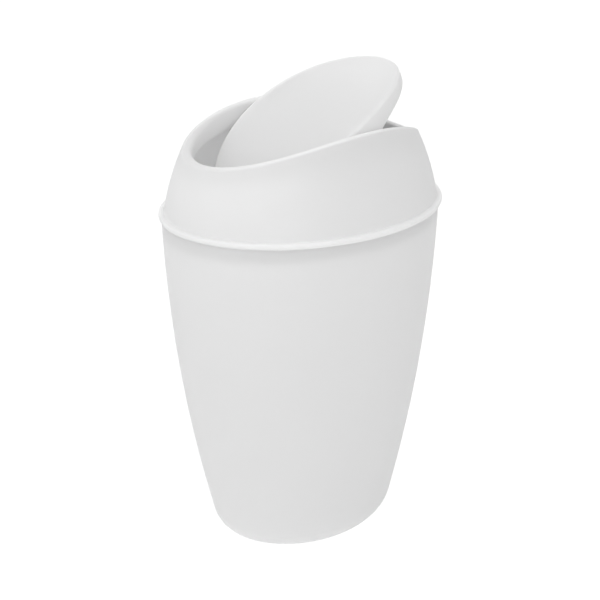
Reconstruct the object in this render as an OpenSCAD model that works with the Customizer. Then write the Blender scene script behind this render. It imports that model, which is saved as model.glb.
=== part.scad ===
// Countertop trash can with a swing lid.
// An oval tapering bin, a domed collar that lifts off its rim, and a flap on two pins in the collar.
// Millimetres, standing on z = 0, long axis along y, front towards -y. The flap is drawn swung open.

/* [Bin] */
// height of the bin to the top of its rim
bin_h = 178.2; // [150:0.2:230]
// length of the oval rim, outside
bin_len = 148.6; // [120:0.2:170]
// width of the oval rim, outside
bin_wid = 115.8; // [96:0.2:136]
// how far each end of the oval has drawn in at the foot because of the straight taper
bin_lean = 4.5; // [2:0.1:12]
// how far each end of the oval has drawn in at the foot because of the bowed side
bin_bow = 21.5; // [8:0.1:24]
// radius of the rounded edge round the foot
foot_r = 16.8; // [6:0.2:20]
// wall of the bin
bin_wall = 1.8; // [1.4:0.1:2.6]
// floor of the bin
bin_floor = 2.2; // [1.6:0.1:3.5]

/* [Collar] */
// how far the flange stands out past the rim of the bin at its ends
over_len = 1.1; // [0.8:0.1:3]
// how far the flange stands out past the rim of the bin at its sides
over_wid = 2.6; // [0.8:0.1:3.5]
// thickness of the flange
flange_t = 3; // [1.8:0.1:3.6]
// inset of the dome's foot from the edge of the flange
flange_step = 2.2; // [1.4:0.1:3]
// wall of the collar
collar_wall = 1.6; // [1.3:0.1:2.2]
// height above the rim of the bin at which the dome's leans and bows are measured
bow_at = 40; // [36:0.5:50]
// straight lean of the dome's ends at that height
lean_len = 7.9; // [4:0.1:12]
// bow of the dome's ends at that height
bow_len = 6.4; // [2:0.1:9]
// straight lean of the dome's sides at that height
lean_wid = 0.9; // [0:0.1:5]
// bow of the dome's sides at that height
bow_wid = 9.7; // [6:0.1:12]
// depth of the plug skirt inside the mouth of the bin
plug_h = 8; // [5:0.5:12]
// gap between the plug skirt and the bin
plug_gap = 0.3; // [0.15:0.05:0.6]

/* [Opening] */
// height of the rim of the opening above the bin, at the pivots
crest_h = 46; // [40:0.1:50]
// distance from the middle at which the drop and the fullness of the rim are measured
crest_at = 60; // [54:0.5:72]
// drop of the rim at that distance, towards the front and the back
crest_drop = 12.9; // [8:0.1:18]
// how much fuller the rim is half way there behind the pivots than in front
crest_skew = 3.6; // [0:0.1:4]
// rolling radius of the rim at the front
roll_front = 3.2; // [2:0.1:4]
// rolling radius of the rim at the back
roll_back = 1.7; // [1.6:0.1:3]
// depth of the throat below the rim, at the front and back
throat_end = 7.5; // [6:0.5:10]
// depth of the throat below the rim, at the pivots
throat_side = 12; // [11:0.5:14]

/* [Flap] */
// length of the flap
flap_len = 112.2; // [90:0.2:116]
// gap between the flap and the throat at the pivots
flap_gap = 0.75; // [0.6:0.05:2.5]
// rise of the arched top from its ends to the pivots
flap_arch = 7.4; // [4:0.1:10]
// wall of the flap
flap_wall = 1.6; // [1.3:0.1:2.2]
// rounding of the top edge
flap_edge = 1.6; // [1:0.1:2]
// depth of the skirt at the front and back ends
skirt_end = 5.2; // [3:0.2:8]
// depth of the skirt along the sides
skirt_side = 10; // [8:0.5:12]
// how much deeper the skirt reaches as an ear at each pivot
ear = 5; // [3:0.5:7]
// draft of the skirt, leaning in towards its lower edge
skirt_draft = 2.5; // [1:0.5:4]
// angle the flap is swung open, back end up
flap_open = 31.5; // [0:0.5:60]

/* [Pivot] */
// diameter of the pins
pin_d = 3.2; // [2.6:0.1:3.6]
// running clearance of the pins in their sockets, on the radius
pin_fit = 0.05; // [0.03:0.01:0.1]
// how far the pins sit below the top edge of the flap
pin_drop = 3.6; // [3:0.1:5]
// how far the pins sit below the rim of the opening
pin_sink = 3.65; // [3.6:0.05:6]
// how far the pins sit behind the middle
pin_back = 0.4; // [0:0.1:1.5]
// diameter of the bosses round the sockets
boss_d = 6.2; // [5.4:0.1:7]
// how far the pins reach into the collar
pin_reach = 2; // [1.7:0.1:2.4]
// play between the tip of a pin and the end of its socket
tip_play = 0.3; // [0.2:0.05:0.5]
// wall behind the end of a socket
boss_wall = 0.6; // [0.5:0.1:1]
// how much the shoulder stands out round a pin
shoulder_rise = 0.8; // [0.6:0.1:1]
// how much the root stands out round a pin
root_rise = 1.2; // [1:0.1:1.4]
// play between the shoulder of a pin and the throat
pin_play = 0.3; // [0.1:0.05:0.5]

/* [Hidden] */

// steps round the lofted pieces
seg = 80;

// how much of the foot's rounding is cut off to make the flat base
base_cut = 0.06;

// inset of the flap's plain middle from its edge
crown_in = 7;

// break of the lower edges of the skirts
lip = 0.4;

ratio_out = bin_wid / bin_len;
ratio_in = (bin_wid - 2 * bin_wall) / (bin_len - 2 * bin_wall);

// half length of the bin's outside and inside at height z
function bin_a(z) = let (q = 1 - z / bin_h) bin_len / 2 - bin_lean * q - bin_bow * q * q;
function bore_a(z) = bin_a(z) - bin_wall;
function bore_b(z) = ratio_in * bore_a(z);

// slope of the bin's side near the foot
foot_lean = atan((bin_lean + 2 * bin_bow * (1 - foot_r / bin_h)) / bin_h);

// outline of one half of a bin-shaped solid, inset by w, from floor level f up
function foot_arc(w, f) = let (
    r = foot_r - w,
    z_t = foot_r - r * sin(foot_lean),
    c = bin_a(z_t) - w / cos(foot_lean) - r * cos(foot_lean),
    up = max(0, f - w)
) [
    for (i = [0:8])
    let (a = -90 + i * (90 - foot_lean) / 8)
    [c + r * cos(a), foot_r + r * sin(a) + up * (1 - i / 8)]
];

function side(w, z_end) = [for (i = [0:24]) let (
    z_0 = foot_r + 1,
    z = z_0 + (z_end - z_0) * i / 24
) [bin_a(z) - w, z]];

// flange and dome of the collar, half length and half width
flange_a = bin_len / 2 + over_len;
flange_b = bin_wid / 2 + over_wid;
dome_a = flange_a - flange_step;
dome_b = flange_b - flange_step;
function wall_a(s) = dome_a - lean_len * s / bow_at - bow_len * pow(s / bow_at, 2);
function wall_b(s) = dome_b - lean_wid * s / bow_at - bow_wid * pow(s / bow_at, 2);
function lean_a(s) = (lean_len + 2 * bow_len * s / bow_at) / bow_at;
function lean_b(s) = (lean_wid + 2 * bow_wid * s / bow_at) / bow_at;

// height of the rim above the bin, at distance y from the middle
function crest(y) = let (v = y / crest_at) crest_h - crest_drop * v * v + crest_skew * (v - v * v * v);

// height at which the dome wall meets the rim, at angle t round the oval
function meet(t, s, n) = n == 0 ? s : meet(t, 0.5 * s + 0.5 * crest(wall_a(s) * sin(t)), n - 1);

// rolling radius and throat depth at angle t
function roll(t) = roll_back + (roll_front - roll_back) * pow((1 - sin(t)) / 2, 3);
function throat(t) = throat_end + (throat_side - throat_end) * pow(cos(t), 2);

// lean of the wall at the rim and inset of the roll's centre line
function tip(t, s) = atan(lean_a(s) * pow(sin(t), 2) + lean_b(s) * pow(cos(t), 2));
function roll_in(r, k) = r * (cos(k) - (1 - sin(k)) * tan(k));

// half width of the throat at the pivots
side_r = roll(0);
side_k = tip(0, crest_h);
throat_b = wall_b(crest_h) - roll_in(side_r, side_k) - side_r;

// pivot axis
pin_z = bin_h + crest_h - pin_sink;
shoulder_b = throat_b - pin_play;
pin_tip_b = throat_b + pin_reach;
socket_b = pin_tip_b + tip_play;
boss_b = socket_b + boss_wall;

// flap, half length and half width
flap_a = flap_len / 2;
flap_b = throat_b - flap_gap;
skirt_b = flap_b - flap_wall;

// point on an oval of half length a and half width b
function oval(a, b, t, z) = [b * cos(t), a * sin(t), z];

// closed section of the collar at angle t
function collar_section(t) = let (
    s = meet(t, crest_h, 24),
    a = wall_a(s),
    b = wall_b(s),
    r = roll(t),
    k = tip(t, s),
    d = roll_in(r, k),
    w = collar_wall,
    r_in = max(0.2, r - w),
    s_out = s - r * (1 - sin(k)),
    s_in = s - r + r_in * sin(k),
    w_h = w / cos(k),
    f = flange_t,
    low = s - throat(t),
    face = d + r,
    zp = bin_h - plug_h
) concat(
    [
        oval(flange_a - 0.7, flange_b - 0.7, t, bin_h),
        oval(flange_a - 0.2, flange_b - 0.2, t, bin_h + 0.3),
        oval(flange_a, flange_b, t, bin_h + f * 0.42),
        oval(flange_a - 0.2, flange_b - 0.2, t, bin_h + f * 0.78),
        oval(flange_a - 0.8, flange_b - 0.8, t, bin_h + f),
        oval(wall_a(f) + 0.25, wall_b(f) + 0.25, t, bin_h + f + 0.1)
    ],
    [for (i = [0:8]) let (h = f + 0.6 + (s_out - f - 0.6) * i / 8)
        oval(wall_a(h), wall_b(h), t, bin_h + h)],
    [for (i = [1:8]) let (g = k + (180 - k) * i / 8)
        oval(a - d + r * cos(g), b - d + r * cos(g), t, bin_h + s - r + r * sin(g))],
    [
        oval(a - face, b - face, t, bin_h + low + 0.5),
        oval(a - face + lip, b - face + lip, t, bin_h + low),
        oval(a - face + w - lip, b - face + w - lip, t, bin_h + low),
        oval(a - face + w, b - face + w, t, bin_h + low + 0.5)
    ],
    [for (i = [0:3]) let (g = 180 - (180 - k) * i / 3)
        oval(a - d + r_in * cos(g), b - d + r_in * cos(g), t, bin_h + s - r + r_in * sin(g))],
    [for (i = [1:6]) let (h = s_in + (f + 0.8 - s_in) * i / 6)
        oval(wall_a(h) - w_h, wall_b(h) - w_h, t, bin_h + h)],
    [
        oval(bore_a(bin_h) - plug_gap - w, bore_b(bin_h) - plug_gap - w, t, bin_h + lip),
        oval(bore_a(zp) - plug_gap - w, bore_b(zp) - plug_gap - w, t, zp + lip),
        oval(bore_a(zp) - plug_gap - w + lip, bore_b(zp) - plug_gap - w + lip, t, zp),
        oval(bore_a(zp) - plug_gap - lip, bore_b(zp) - plug_gap - lip, t, zp),
        oval(bore_a(zp) - plug_gap, bore_b(zp) - plug_gap, t, zp + lip),
        oval(bore_a(bin_h) - plug_gap, bore_b(bin_h) - plug_gap, t, bin_h)
    ]
);

// inset and drop of the flap's section, from just inside the top edge down the skirt and back under
function flap_section(t) = let (
    w = flap_wall,
    e = flap_edge,
    deep = skirt_end + (skirt_side - skirt_end) * pow(cos(t), 2) + ear * pow(cos(t), 20),
    q = deep * tan(skirt_draft)
) concat(
    [[crown_in, 0], [3, 0]],
    [for (i = [0:4]) let (g = i * 22.5) [e * (1 - sin(g)), -e * (1 - cos(g))]],
    [
        [q + 0.1, -deep + lip],
        [q + 0.1 + lip, -deep],
        [q + 0.1 + w - lip, -deep],
        [q + 0.1 + w, -deep + lip]
    ],
    [[w + 0.2, -w - 0.7], [w + 0.4, -w - 0.2], [w + 0.9, -w], [crown_in, -w]]
);
function arch(u) = -flap_arch * pow(u / flap_a, 2);
function flap_ring(t, d, z) = let (u = (flap_a - d) * sin(t)) [(flap_b - d) * cos(t), u, arch(u) + z];
function flap_disc(t, f, z) = let (u = (flap_a - crown_in) * f * sin(t))
    [(flap_b - crown_in) * f * cos(t), u, arch(u) + z];
function flap_column(t) = concat(
    [flap_disc(t, 0.4, 0), flap_disc(t, 0.75, 0)],
    [for (p = flap_section(t)) flap_ring(t, p[0], p[1])],
    [flap_disc(t, 0.75, -flap_wall), flap_disc(t, 0.4, -flap_wall)]
);

// loft through equal columns of points set round the z axis, each column a closed section
module ring_loft(cols) {
    n = len(cols);
    m = len(cols[0]);
    pts = [for (c = cols) each c];
    faces = [
        for (i = [0:n - 1])
        for (j = [0:m - 1])
        let (
            i2 = (i + 1) % n,
            j2 = (j + 1) % m
        )
        each [
            [i * m + j, i * m + j2, i2 * m + j2],
            [i * m + j, i2 * m + j2, i2 * m + j]
        ]
    ];
    polyhedron(points = pts, faces = faces, convexity = 10);
}

// loft through columns that run from a top centre point round to a bottom centre point
module dome_loft(cols, top, bottom) {
    n = len(cols);
    m = len(cols[0]);
    pts = concat([for (c = cols) each c], [top, bottom]);
    faces = concat(
        [
            for (i = [0:n - 1])
            for (j = [0:m - 2])
            let (i2 = (i + 1) % n)
            each [
                [i * m + j, i2 * m + j + 1, i * m + j + 1],
                [i * m + j, i2 * m + j, i2 * m + j + 1]
            ]
        ],
        [for (i = [0:n - 1]) [n * m, ((i + 1) % n) * m, i * m]],
        [for (i = [0:n - 1]) [n * m + 1, i * m + m - 1, ((i + 1) % n) * m + m - 1]]
    );
    polyhedron(points = pts, faces = faces, convexity = 10);
}

// round bar along x between two distances on the side of the given sign
module bar(d, from, to, sign) {
    translate([sign * from, 0, 0])
        rotate([0, sign * 90, 0])
            cylinder(d = d, h = to - from, $fn = 48);
}

// oval tapering bin, open at the top
module bin() {
    color("white")
        difference() {
            scale([ratio_out, 1, 1])
                rotate_extrude($fn = 128)
                    polygon(concat(
                        [[0, -base_cut]],
                        [for (p = foot_arc(0, 0)) [p[0], p[1] - base_cut]],
                        side(0, bin_h - 0.5),
                        [[bin_len / 2 - 0.4, bin_h], [0, bin_h]]
                    ));
            translate([-bin_len, -bin_len, -bin_h])
                cube([2 * bin_len, 2 * bin_len, bin_h]);
            scale([ratio_in, 1, 1])
                rotate_extrude($fn = 128)
                    polygon(concat(
                        [[0, bin_floor]],
                        foot_arc(bin_wall, bin_floor),
                        side(bin_wall, bin_h - 0.4),
                        [
                            [bin_len / 2 - bin_wall + 0.3, bin_h],
                            [bin_len / 2 - bin_wall + 0.3, bin_h + 1],
                            [0, bin_h + 1]
                        ]
                    ));
        }
}

// domed collar with flange, plug skirt, rolled rim, throat and the two pin sockets
module collar() {
    color("white")
        difference() {
            union() {
                ring_loft([for (i = [0:seg - 1]) collar_section(i * 360 / seg)]);
                translate([0, pin_back, pin_z])
                    for (sign = [-1, 1])
                        bar(boss_d, throat_b + 0.8, boss_b, sign);
            }
            translate([0, pin_back, pin_z])
                for (sign = [-1, 1])
                    bar(pin_d + 2 * pin_fit, throat_b - 1, socket_b, sign);
        }
}

// arched flap with its skirt and two pins
module flap() {
    color("white")
        translate([0, pin_back, pin_z])
            rotate([flap_open, 0, 0]) {
                translate([0, 0, pin_drop])
                    dome_loft(
                        [for (i = [0:seg - 1]) flap_column(i * 360 / seg)],
                        [0, 0, 0],
                        [0, 0, -flap_wall]
                    );
                for (sign = [-1, 1]) {
                    bar(pin_d + 2 * root_rise, skirt_b - root_rise, skirt_b + 0.3, sign);
                    bar(pin_d + 2 * shoulder_rise, flap_b - 1, shoulder_b, sign);
                    bar(pin_d, skirt_b - 0.6, pin_tip_b, sign);
                }
            }
}

bin();
collar();
flap();
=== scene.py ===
import bmesh
import bpy
import math
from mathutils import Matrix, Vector


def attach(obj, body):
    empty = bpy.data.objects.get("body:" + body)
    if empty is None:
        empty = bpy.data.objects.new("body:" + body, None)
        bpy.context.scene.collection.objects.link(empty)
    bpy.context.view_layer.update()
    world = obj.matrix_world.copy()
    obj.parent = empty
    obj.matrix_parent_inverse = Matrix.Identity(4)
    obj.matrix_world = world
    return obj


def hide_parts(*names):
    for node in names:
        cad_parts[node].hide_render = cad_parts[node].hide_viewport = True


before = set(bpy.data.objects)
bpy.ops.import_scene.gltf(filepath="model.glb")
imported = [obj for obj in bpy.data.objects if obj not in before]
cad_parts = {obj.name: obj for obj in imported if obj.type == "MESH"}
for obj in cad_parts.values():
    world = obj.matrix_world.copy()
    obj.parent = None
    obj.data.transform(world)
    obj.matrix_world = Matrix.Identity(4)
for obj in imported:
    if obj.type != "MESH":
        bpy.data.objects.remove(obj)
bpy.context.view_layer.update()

MM = 0.001

# Sizes in millimetres and angles in degrees, as in the part's source.
BIN_H, BIN_LEN, BIN_WID = 178.2, 148.6, 115.8
BIN_LEAN, BIN_BOW, FOOT_R = 4.5, 21.5, 16.8
BIN_WALL, BIN_FLOOR, BASE_CUT = 1.8, 2.2, 0.06
OVER_LEN, OVER_WID, FLANGE_T, FLANGE_STEP, COLLAR_WALL = 1.1, 2.6, 3.0, 2.2, 1.6
BOW_AT, LEAN_LEN, BOW_LEN, LEAN_WID, BOW_WID = 40.0, 7.9, 6.4, 0.9, 9.7
PLUG_H, PLUG_GAP = 8.0, 0.3
CREST_H, CREST_AT, CREST_DROP, CREST_SKEW = 46.0, 60.0, 12.9, 3.6
ROLL_FRONT, ROLL_BACK, THROAT_END, THROAT_SIDE = 3.2, 1.7, 7.5, 12.0
FLAP_LEN, FLAP_GAP, FLAP_ARCH, FLAP_WALL, FLAP_EDGE = 112.2, 0.75, 7.4, 1.6, 1.6
SKIRT_END, SKIRT_SIDE, EAR, SKIRT_DRAFT, FLAP_OPEN = 5.2, 10.0, 5.0, 2.5, 31.5
PIN_D, PIN_FIT, PIN_DROP, PIN_SINK, PIN_BACK = 3.2, 0.05, 3.6, 3.65, 0.4
BOSS_D, PIN_PLAY, PIN_REACH, TIP_PLAY, BOSS_WALL = 6.2, 0.3, 2.0, 0.3, 0.6
SHOULDER_RISE, ROOT_RISE, CROWN_IN = 0.8, 1.2, 7.0

# Rounding of the flange's edge, depth of the rounded lower lips, and rise of the plug skirt's inner root.
FLANGE_EDGE, LIP, PLUG_ROOT = 0.9, 0.5, 0.4

# Least rolling radius on the inner face of the collar.
INNER_ROLL = 0.2

# How far below the bin's rim the even steps of its outer and inner faces end.
OUTER_END, INNER_END = 0.5, 0.4

# Insets and drops, from those faces at the rim, of the points that round it.
RIM_OUT, RIM_IN = ((0.15, 0.15), (0.4, 0.0)), ((-0.3, 0.0),)

# Outsets and rises of the points in the corner between flange and dome.
FLANGE_CORNER = ((0.45, 0.05), (0.12, 0.22))

# Heights above the flange at which the even steps of the dome start and those of its inner face end.
DOME_START, HOLLOW_END = 0.6, 0.8

# Inset of the last point on the flap's top before its rounded edge, and of its skirt's foot past the draft.
TOP_IN, SKIRT_IN = 3.0, 0.1

# Insets and drops, from the flap's inner faces, of the points in the corner between skirt and crown.
CROWN_CORNER = ((0.15, 0.7), (0.35, 0.25), (0.9, 0.0))

# Power of the cosine that makes the ears narrow.
EAR_POWER = 20

# Numbers of steps along the sections and round the bars and the floor, and of rounds that find the rim.
FOOT_STEPS, SIDE_STEPS, DOME_STEPS, ROLL_STEPS, HOLLOW_STEPS = 16, 48, 24, 20, 16
EDGE_STEPS, LIP_STEPS, WALL_STEPS = 6, 8, 4
BAR_SEG, FLOOR_SEG, MEET_ROUNDS = 64, 96, 24

# Shares of a disc's size at which its rings lie.
BASE_RINGS = (0.35, 0.7)
CROWN_RINGS = (0.15, 0.3, 0.45, 0.6, 0.75, 0.9)

# Angle in degrees above which an edge is shaded sharp.
SHARP = 32

RATIO_OUT = BIN_WID / BIN_LEN
RATIO_IN = (BIN_WID - 2 * BIN_WALL) / (BIN_LEN - 2 * BIN_WALL)
FLANGE_A, FLANGE_B = BIN_LEN / 2 + OVER_LEN, BIN_WID / 2 + OVER_WID
DOME_A, DOME_B = FLANGE_A - FLANGE_STEP, FLANGE_B - FLANGE_STEP


def rad(a):
    return math.radians(a)


def bin_a(z):
    """Half length of the bin's outside at height z."""
    q = 1 - z / BIN_H
    return BIN_LEN / 2 - BIN_LEAN * q - BIN_BOW * q * q


def wall_a(s):
    """Half length of the dome at height s above the bin."""
    return DOME_A - LEAN_LEN * s / BOW_AT - BOW_LEN * (s / BOW_AT) ** 2


def wall_b(s):
    """Half width of the dome at height s above the bin."""
    return DOME_B - LEAN_WID * s / BOW_AT - BOW_WID * (s / BOW_AT) ** 2


def crest(y):
    """Height of the opening's rim above the bin at distance y from the middle."""
    v = y / CREST_AT
    return CREST_H - CREST_DROP * v * v + CREST_SKEW * (v - v ** 3)


def meet(t):
    """Height above the bin at which the dome meets the opening's rim, at angle t round the oval."""
    s = CREST_H
    for _ in range(MEET_ROUNDS):
        s = 0.5 * s + 0.5 * crest(wall_a(s) * math.sin(t))
    return s


def roll(t):
    """Rolling radius of the opening's rim at angle t."""
    return ROLL_BACK + (ROLL_FRONT - ROLL_BACK) * ((1 - math.sin(t)) / 2) ** 3


def tip(t, s):
    """Lean of the dome's wall at angle t and height s above the bin."""
    la = (LEAN_LEN + 2 * BOW_LEN * s / BOW_AT) / BOW_AT
    lb = (LEAN_WID + 2 * BOW_WID * s / BOW_AT) / BOW_AT
    return math.atan(la * math.sin(t) ** 2 + lb * math.cos(t) ** 2)


def roll_in(r, k):
    """How far inside the top of a wall that leans by k the centre of its roll of radius r lies."""
    return r * (math.cos(k) - (1 - math.sin(k)) * math.tan(k))


THROAT_B = wall_b(CREST_H) - roll_in(roll(0), tip(0, CREST_H)) - roll(0)
PIN_Z = BIN_H + CREST_H - PIN_SINK
PIN_TIP_B = THROAT_B + PIN_REACH
SOCKET_B = PIN_TIP_B + TIP_PLAY
BOSS_B = SOCKET_B + BOSS_WALL
FLAP_A, FLAP_B = FLAP_LEN / 2, THROAT_B - FLAP_GAP
SKIRT_B = FLAP_B - FLAP_WALL

# Bars along x in millimetres, on the side of +x: diameter, near end, far end and chamfer.
BOSS = (BOSS_D, THROAT_B + 0.8, BOSS_B, 0.1)
SOCKET = (PIN_D + 2 * PIN_FIT, THROAT_B - 1, SOCKET_B, 0.01)
PIN_ROOT = (PIN_D + 2 * ROOT_RISE, SKIRT_B - ROOT_RISE, SKIRT_B + 0.3, 0.3)
PIN_SHOULDER = (PIN_D + 2 * SHOULDER_RISE, FLAP_B - 1, THROAT_B - PIN_PLAY, 0.2)
PIN = (PIN_D, SKIRT_B - 0.6, PIN_TIP_B, 0.35)


def oval(a, b, t, z):
    """Point in metres on an oval of half length a and half width b, at angle t and height z."""
    return (b * math.cos(t) * MM, a * math.sin(t) * MM, z * MM)


def sweep(start, end, steps, first=0):
    """Values from start to end in equal steps, beginning with the step numbered first."""
    return [start + (end - start) * i / steps for i in range(first, steps + 1)]


def foot(w, f):
    """Half lengths and heights round the bin's foot, inset by w, from floor level f up."""
    lean = math.atan((BIN_LEAN + 2 * BIN_BOW * (1 - FOOT_R / BIN_H)) / BIN_H)
    r = FOOT_R - w
    z_t = FOOT_R - r * math.sin(lean)
    c = bin_a(z_t) - w / math.cos(lean) - r * math.cos(lean)
    up = max(0.0, f - w)
    out = []
    for i in range(FOOT_STEPS + 1):
        a = -math.pi / 2 + i * (math.pi / 2 - lean) / FOOT_STEPS
        out.append((c + r * math.cos(a), FOOT_R + r * math.sin(a) + up * (1 - i / FOOT_STEPS)))
    return out


def side(w, z_end):
    """Half lengths and heights up the bin's side, inset by w."""
    return [(bin_a(z) - w, z) for z in sweep(FOOT_R + 1, z_end, SIDE_STEPS)]


def bin_column(t):
    """Section of the bin at angle t, from near the middle of the underside out, up and back down."""
    outer = [(a, max(0.0, z - BASE_CUT)) for a, z in foot(0, 0)]
    outer += side(0, BIN_H - OUTER_END)
    outer += [(BIN_LEN / 2 - inset, BIN_H - drop) for inset, drop in RIM_OUT]
    inner = foot(BIN_WALL, BIN_FLOOR)
    inner += side(BIN_WALL, BIN_H - INNER_END)
    inner += [(BIN_LEN / 2 - BIN_WALL - inset, BIN_H - drop) for inset, drop in RIM_IN]
    base, floor = outer[0][0], inner[0][0]
    pts = [oval(base * f, base * f * RATIO_OUT, t, 0.0) for f in BASE_RINGS]
    pts += [oval(a, a * RATIO_OUT, t, z) for a, z in outer]
    pts += [oval(a, a * RATIO_IN, t, z) for a, z in reversed(inner)]
    pts += [oval(floor * f, floor * f * RATIO_IN, t, BIN_FLOOR) for f in reversed(BASE_RINGS)]
    return pts


def collar_column(t):
    """Closed section of the collar at angle t: flange, dome, rim, throat, inner face and plug skirt."""
    s = meet(t)
    a, b, r, k = wall_a(s), wall_b(s), roll(t), tip(t, s)
    d = roll_in(r, k)
    w, f = COLLAR_WALL, FLANGE_T
    r_in = max(INNER_ROLL, r - w)
    s_out = s - r * (1 - math.sin(k))
    s_in = s - r + r_in * math.sin(k)
    w_h = w / math.cos(k)
    low = s - (THROAT_END + (THROAT_SIDE - THROAT_END) * math.cos(t) ** 2)
    face = d + r
    pts = []

    def add(half_a, half_b, inset, h):
        pts.append(oval(half_a - inset, half_b - inset, t, BIN_H + h))

    def lip(half_a, half_b, inset, h):
        for g in sweep(math.pi, 2 * math.pi, LIP_STEPS):
            add(half_a, half_b, inset - w / 2 - w / 2 * math.cos(g), h + LIP * math.sin(g))

    for g in sweep(-math.pi / 2, math.pi / 2, EDGE_STEPS):
        add(FLANGE_A, FLANGE_B, FLANGE_EDGE * (1 - math.cos(g)), f / 2 + f / 2 * math.sin(g))
    for outset, rise in FLANGE_CORNER:
        add(wall_a(f), wall_b(f), -outset, f + rise)
    for h in sweep(f + DOME_START, s_out, DOME_STEPS):
        add(wall_a(h), wall_b(h), 0, h)
    for g in sweep(k, math.pi, ROLL_STEPS, 1):
        add(a, b, d - r * math.cos(g), s - r + r * math.sin(g))
    for h in sweep(s - r, low + LIP, WALL_STEPS, 1)[:-1]:
        add(a, b, face, h)
    lip(a, b, face, low + LIP)
    for g in sweep(math.pi, k, EDGE_STEPS):
        add(a, b, d - r_in * math.cos(g), s - r + r_in * math.sin(g))
    for h in sweep(s_in, f + HOLLOW_END, HOLLOW_STEPS, 1):
        add(wall_a(h), wall_b(h), w_h, h)

    mouth_a, plug_a = bin_a(BIN_H) - BIN_WALL, bin_a(BIN_H - PLUG_H) - BIN_WALL
    add(mouth_a, RATIO_IN * mouth_a, PLUG_GAP + w, PLUG_ROOT)
    lip(plug_a, RATIO_IN * plug_a, PLUG_GAP + w, LIP - PLUG_H)
    add(mouth_a, RATIO_IN * mouth_a, PLUG_GAP, 0)
    return pts


def flap_column(t):
    """Section of the flap at angle t, from near the middle of the top out, down the skirt and back."""
    w, e = FLAP_WALL, FLAP_EDGE
    deep = SKIRT_END + (SKIRT_SIDE - SKIRT_END) * math.cos(t) ** 2 + EAR * math.cos(t) ** EAR_POWER
    q = deep * math.tan(rad(SKIRT_DRAFT)) + SKIRT_IN
    skirt = zip(sweep(0, q, WALL_STEPS), sweep(-e, LIP - deep, WALL_STEPS))
    sec = [(TOP_IN, 0.0)]
    sec += [(e * (1 - math.sin(g)), -e * (1 - math.cos(g))) for g in sweep(0, math.pi / 2, LIP_STEPS)]
    sec += list(skirt)[1:-1]
    for g in sweep(math.pi, 2 * math.pi, LIP_STEPS):
        sec.append((q + w / 2 + w / 2 * math.cos(g), LIP - deep + LIP * math.sin(g)))
    sec += [(w + inset, -w - drop) for inset, drop in CROWN_CORNER]
    sec += [(CROWN_IN, -w)]

    def place(half_a, half_b, z):
        u = half_a * math.sin(t)
        return (half_b * math.cos(t) * MM, u * MM, (-FLAP_ARCH * (u / FLAP_A) ** 2 + z) * MM)

    crown_a, crown_b = FLAP_A - CROWN_IN, FLAP_B - CROWN_IN
    pts = [place(crown_a * f, crown_b * f, 0.0) for f in CROWN_RINGS]
    pts += [place(FLAP_A - d, FLAP_B - d, z) for d, z in sec]
    pts += [place(crown_a * f, crown_b * f, -w) for f in reversed(CROWN_RINGS)]
    return pts


def add_object(name, data):
    ob = bpy.data.objects.new(name, data)
    bpy.context.scene.collection.objects.link(ob)
    return ob


def add_mesh(name, verts, faces):
    me = bpy.data.meshes.new(name)
    me.from_pydata(verts, [], faces)
    me.update()
    return add_object(name, me)


def loft(name, column, seg, closed, top=None, bottom=None):
    """Mesh through equal columns round the z axis.

    A closed column runs back to its own start. Any other is shut by two poles on the axis.
    """
    cols = [column(2 * math.pi * i / seg) for i in range(seg)]
    m = len(cols[0])
    verts = [p for c in cols for p in c]
    faces = []
    last = m if closed else m - 1
    for i in range(seg):
        i2 = (i + 1) % seg
        for j in range(last):
            j2 = (j + 1) % m
            faces.append((i * m + j, i2 * m + j, i2 * m + j2, i * m + j2))
    if not closed:
        verts += [top, bottom]
        for i in range(seg):
            i2 = (i + 1) % seg
            faces.append((seg * m, i2 * m, i * m))
            faces.append((seg * m + 1, i * m + m - 1, i2 * m + m - 1))
    return add_mesh(name, verts, faces)


def outward(ob):
    """Turns the faces of a mesh outwards."""
    bm = bmesh.new()
    bm.from_mesh(ob.data)
    bmesh.ops.recalc_face_normals(bm, faces=bm.faces)
    if bm.calc_volume(signed=True) < 0:
        bmesh.ops.reverse_faces(bm, faces=bm.faces)
    bm.to_mesh(ob.data)
    bm.free()


def smooth(ob):
    ob.data.shade_smooth()
    ob.data.set_sharp_from_angle(angle=rad(SHARP))


def bar(name, d, x0, x1, chamfer):
    """Round bar on the pins' axis from x0 to x1, with a chamfer at both ends."""
    r = d / 2
    cut = math.copysign(chamfer, x1 - x0)
    rings = ((x0, r - chamfer), (x0 + cut, r), (x1 - cut, r), (x1, r - chamfer))
    verts = [(x0 * MM, PIN_BACK * MM, PIN_Z * MM)]
    for x, q in rings:
        for i in range(BAR_SEG):
            a = 2 * math.pi * i / BAR_SEG
            verts.append((x * MM, (PIN_BACK + q * math.cos(a)) * MM, (PIN_Z + q * math.sin(a)) * MM))
    verts.append((x1 * MM, PIN_BACK * MM, PIN_Z * MM))
    end, last = len(verts) - 1, 1 + (len(rings) - 1) * BAR_SEG
    faces = []
    for i in range(BAR_SEG):
        i2 = (i + 1) % BAR_SEG
        faces.append((0, 1 + i2, 1 + i))
        for k in range(len(rings) - 1):
            here, there = 1 + k * BAR_SEG, 1 + (k + 1) * BAR_SEG
            faces.append((here + i, here + i2, there + i2, there + i))
        faces.append((end, last + i, last + i2))
    ob = add_mesh(name, verts, faces)
    outward(ob)
    return ob


def combine(target, other, operation):
    """Joins or cuts one mesh with another and keeps the result as plain mesh."""
    mod = target.modifiers.new("cut", "BOOLEAN")
    mod.operation = operation
    mod.solver = "EXACT"
    mod.object = other
    dg = bpy.context.evaluated_depsgraph_get()
    me = bpy.data.meshes.new_from_object(target.evaluated_get(dg))
    target.modifiers.clear()
    old = target.data
    target.data = me
    bpy.data.meshes.remove(old)
    bpy.data.objects.remove(other)


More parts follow.
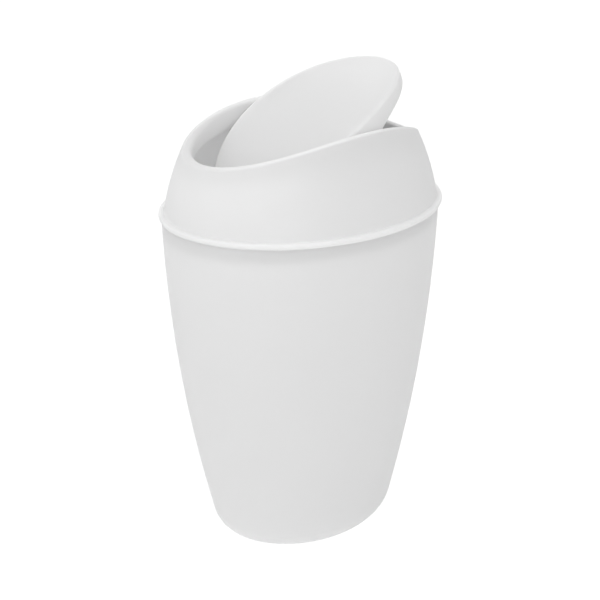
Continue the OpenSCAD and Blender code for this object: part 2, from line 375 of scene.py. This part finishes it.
def both_sides(target, name, bars, operation):
    """Joins bars to a mesh, or cuts them from it, at both ends of the pins' axis."""
    for sign in (-1, 1):
        for d, near, far, chamfer in bars:
            combine(target, bar(name, d, sign * near, sign * far, chamfer), operation)


# Materials

# Colour of the plastic, its slightly darker shade as a share of it, and the drift of its roughness.
WHITE, SHADE = (0.96, 0.96, 0.96), 0.985
SHEEN_DOWN, SHEEN_UP = 0.03, 0.04


def add_node(tree, kind, **values):
    """New node with its inputs set by name, where an underscore stands for a space."""
    made = tree.nodes.new(kind)
    for name, value in values.items():
        made.inputs[name.replace("_", " ")].default_value = value
    return made


def plastic(name, colour, rough, seed):
    """Satin moulded polypropylene: a fine grain, a faint drift in tone and sheen, and mild translucency."""
    mat = bpy.data.materials.new(name)
    mat.use_nodes = True
    nt = mat.node_tree
    bsdf = nt.nodes["Principled BSDF"]
    tex = nt.nodes.new("ShaderNodeTexCoord")
    place = add_node(nt, "ShaderNodeMapping", Location=(seed, seed * 0.7, -seed))
    nt.links.new(tex.outputs["Object"], place.inputs["Vector"])

    flow = add_node(nt, "ShaderNodeTexNoise", Scale=14.0, Detail=3.0)
    nt.links.new(place.outputs["Vector"], flow.inputs["Vector"])
    tone = nt.nodes.new("ShaderNodeValToRGB")
    dim, full = tone.color_ramp.elements
    dim.position, full.position = 0.3, 0.7
    dim.color = (*[c * SHADE for c in colour], 1)
    full.color = (*colour, 1)
    nt.links.new(flow.outputs["Fac"], tone.inputs["Fac"])
    nt.links.new(tone.outputs["Color"], bsdf.inputs["Base Color"])

    sheen = add_node(nt, "ShaderNodeMapRange", To_Min=rough - SHEEN_DOWN, To_Max=rough + SHEEN_UP)
    nt.links.new(flow.outputs["Fac"], sheen.inputs["Value"])
    nt.links.new(sheen.outputs["Result"], bsdf.inputs["Roughness"])

    grain = add_node(nt, "ShaderNodeTexNoise", Scale=2600.0, Detail=2.0)
    nt.links.new(place.outputs["Vector"], grain.inputs["Vector"])
    bump = add_node(nt, "ShaderNodeBump", Strength=0.06, Distance=0.0001)
    nt.links.new(grain.outputs["Fac"], bump.inputs["Height"])
    nt.links.new(bump.outputs["Normal"], bsdf.inputs["Normal"])
    bsdf.inputs["Specular IOR Level"].default_value = 0.25
    bsdf.inputs["Subsurface Weight"].default_value = 0.5
    bsdf.inputs["Subsurface Radius"].default_value = (1.0, 1.0, 1.0)
    bsdf.inputs["Subsurface Scale"].default_value = 0.03
    return mat


bin_mat = plastic("bin_plastic", WHITE, 0.46, 0.0)
collar_mat = plastic("collar_plastic", WHITE, 0.42, 3.1)
flap_mat = plastic("flap_plastic", WHITE, 0.42, 7.7)

# Pieces

SEG = 256

bin_ob = loft("bin_shell", bin_column, SEG, False, (0, 0, 0), (0, 0, BIN_FLOOR * MM))
outward(bin_ob)

collar_ob = loft("collar_shell", collar_column, SEG, True)
outward(collar_ob)
both_sides(collar_ob, "boss", (BOSS,), "UNION")
both_sides(collar_ob, "hole", (SOCKET,), "DIFFERENCE")

flap_ob = loft("flap_shell", flap_column, SEG, False, (0, 0, 0), (0, 0, -FLAP_WALL * MM))
turn, lift = math.cos(rad(FLAP_OPEN)), math.sin(rad(FLAP_OPEN))
for v in flap_ob.data.vertices:
    x, y, z = v.co
    z += PIN_DROP * MM
    v.co = (x, PIN_BACK * MM + y * turn - z * lift, PIN_Z * MM + y * lift + z * turn)
outward(flap_ob)
both_sides(flap_ob, "pin", (PIN_ROOT, PIN_SHOULDER, PIN), "UNION")

pieces = ((bin_ob, "bin", bin_mat), (collar_ob, "collar", collar_mat), (flap_ob, "flap", flap_mat))
for ob, node, mat in pieces:
    smooth(ob)
    ob.data.materials.clear()
    ob.data.materials.append(mat)
    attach(ob, node)
    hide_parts(node)

# Floor

# Radius and height in metres.
FLOOR_R, FLOOR_Z = 8.0, -0.0002

# Grey of the paper, strength of its glow, and the glow's share in what the camera sees.
PAPER, GLOW, GLOW_SHARE = 0.95, 1.12, 0.85


def floor_material():
    """White paper. The camera sees its glow and a share of its lit face, other rays the face alone."""
    mat = bpy.data.materials.new("floor_paper")
    mat.use_nodes = True
    nt = mat.node_tree
    nt.nodes.clear()
    out = nt.nodes.new("ShaderNodeOutputMaterial")
    path = nt.nodes.new("ShaderNodeLightPath")
    part = nt.nodes.new("ShaderNodeMath")
    part.operation = "MULTIPLY"
    part.inputs[1].default_value = GLOW_SHARE
    diff = add_node(nt, "ShaderNodeBsdfDiffuse", Color=(PAPER, PAPER, PAPER, 1))
    glow = add_node(nt, "ShaderNodeEmission", Color=(1, 1, 1, 1), Strength=GLOW)
    mix = nt.nodes.new("ShaderNodeMixShader")
    nt.links.new(path.outputs["Is Camera Ray"], part.inputs[0])
    nt.links.new(part.outputs[0], mix.inputs[0])
    nt.links.new(diff.outputs[0], mix.inputs[1])
    nt.links.new(glow.outputs[0], mix.inputs[2])
    nt.links.new(mix.outputs[0], out.inputs["Surface"])
    return mat


disc = [(0, 0, 0)]
for i in range(FLOOR_SEG):
    a = 2 * math.pi * i / FLOOR_SEG
    disc.append((FLOOR_R * math.cos(a), FLOOR_R * math.sin(a), 0))
floor_ob = add_mesh("floor", disc, [(0, 1 + i, 1 + (i + 1) % FLOOR_SEG) for i in range(FLOOR_SEG)])
floor_ob.location.z = FLOOR_Z
floor_ob.data.materials.append(floor_material())

# Light

# Azimuth and elevation in degrees, distance and size in metres, power in watts, height aimed at in metres.
LAMPS = (
    ("key", 50, 30, 1.7, 1.5, 3.0, 0.13),
    ("top", 16, 58, 1.6, 1.6, 5.4, 0.13),
    ("low", 55, 10, 1.0, 0.6, 0.9, 0.02),
)

# Strength of the white world as diffuse light, and bounces of light, of which a white bin needs many.
WORLD_LIGHT, BOUNCES = 0.765, 24


def look(ob, target):
    """Turns a lamp or a camera towards a point."""
    ob.rotation_mode = "QUATERNION"
    ob.rotation_quaternion = (Vector(target) - ob.location).to_track_quat("-Z", "Y")


def around(azimuth, elevation, distance, centre):
    """Point at a distance from the centre. Azimuth 0 is in front, on the side of -y."""
    a, e = rad(azimuth), rad(elevation)
    way = Vector((math.sin(a) * math.cos(e), -math.cos(a) * math.cos(e), math.sin(e)))
    return Vector(centre) + distance * way


def softbox(name, azimuth, elevation, distance, size, power, aim):
    data = bpy.data.lights.new(name, "AREA")
    data.shape = "SQUARE"
    data.size = size
    data.energy = power
    ob = add_object(name, data)
    ob.location = around(azimuth, elevation, distance, (0, 0, aim))
    look(ob, (0, 0, aim))


for lamp in LAMPS:
    softbox(*lamp)

world = bpy.data.worlds.new("studio")
world.use_nodes = True
bpy.context.scene.world = world
nt = world.node_tree
back = nt.nodes["Background"]
path = nt.nodes.new("ShaderNodeLightPath")
either = nt.nodes.new("ShaderNodeMath")
either.operation = "MAXIMUM"
level = add_node(nt, "ShaderNodeMapRange", To_Min=WORLD_LIGHT, To_Max=1.0)
nt.links.new(path.outputs["Is Camera Ray"], either.inputs[0])
nt.links.new(path.outputs["Is Glossy Ray"], either.inputs[1])
nt.links.new(either.outputs[0], level.inputs["Value"])
back.inputs["Color"].default_value = (1, 1, 1, 1)
nt.links.new(level.outputs["Result"], back.inputs["Strength"])

# Camera

# Azimuth and elevation in degrees, distance and height aimed at in metres, and sideways shift.
CAM_AZ, CAM_EL, CAM_D, CAM_Z, CAM_SHIFT = 55.22, 22.91, 0.6899, 0.1262, -0.0046

# Focal length and width of the picture in pixels, and width of the sensor in millimetres.
FOCAL_PX, WIDTH_PX, SENSOR = 1333, 600, 36

cam_data = bpy.data.cameras.new("camera")
cam_data.lens = FOCAL_PX / WIDTH_PX * SENSOR
cam_data.sensor_width = SENSOR
cam_data.shift_x = CAM_SHIFT
cam = add_object("camera", cam_data)
cam.location = around(CAM_AZ, CAM_EL, CAM_D, (0, 0, CAM_Z))
look(cam, (0, 0, CAM_Z))
bpy.context.scene.camera = cam

bpy.context.scene.view_settings.view_transform = "Standard"
bpy.context.scene.cycles.max_bounces = BOUNCES
bpy.context.scene.cycles.diffuse_bounces = BOUNCES

bpy.context.view_layer.update()
